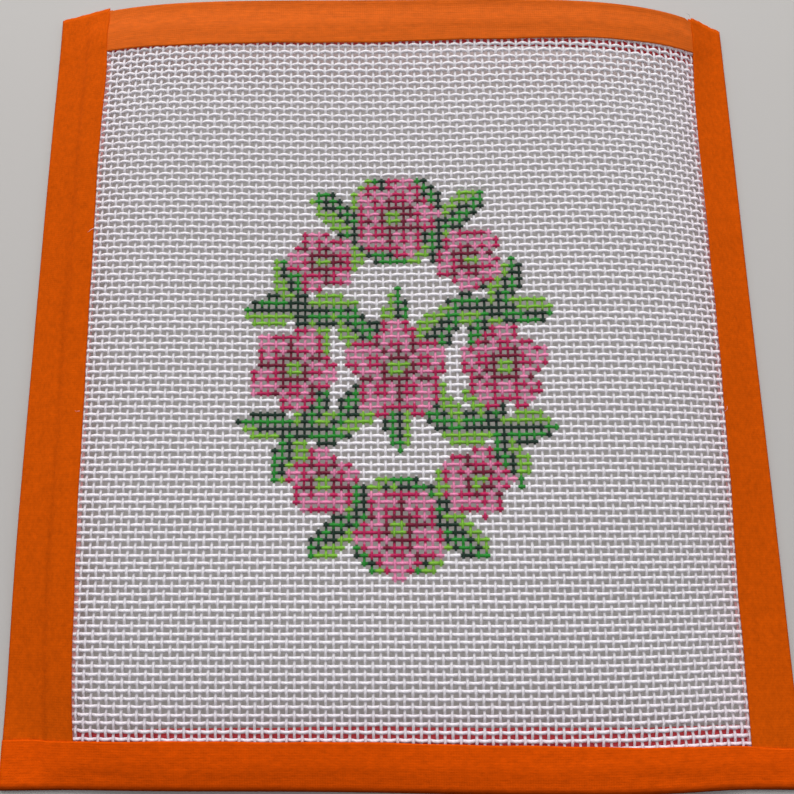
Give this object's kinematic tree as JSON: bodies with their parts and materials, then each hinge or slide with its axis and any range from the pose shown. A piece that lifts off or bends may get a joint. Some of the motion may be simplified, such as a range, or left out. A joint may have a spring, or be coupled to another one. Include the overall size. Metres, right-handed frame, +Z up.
{
  "type": "needlepoint canvas panel",
  "caption": "Small panel of white open-weave needlepoint canvas, painted for stitching and bound on all sides with folded orange cloth tape.",
  "frame": {"origin": "middle of the panel on the surface it rests on", "axes": "+X to the right across the panel, +Y to its top edge, +Z up from the surface it rests on"},
  "size_m": [0.2031, 0.2176, 0.0151],
  "materials": {
    "canvas_cotton": "matt cotton, painted in the middle",
    "tape_side": "matt orange cloth tape",
    "tape_top": "orange cloth tape with a light sheen",
    "tape_bottom": "matt deep orange cloth tape"
  },
  "bodies": {
    "root": {"canvas": "canvas_cotton", "tape_top": "tape_top", "tape_left": "tape_side", "tape_right": "tape_side", "tape_bottom": "tape_bottom"}
  },
  "joints": []
}
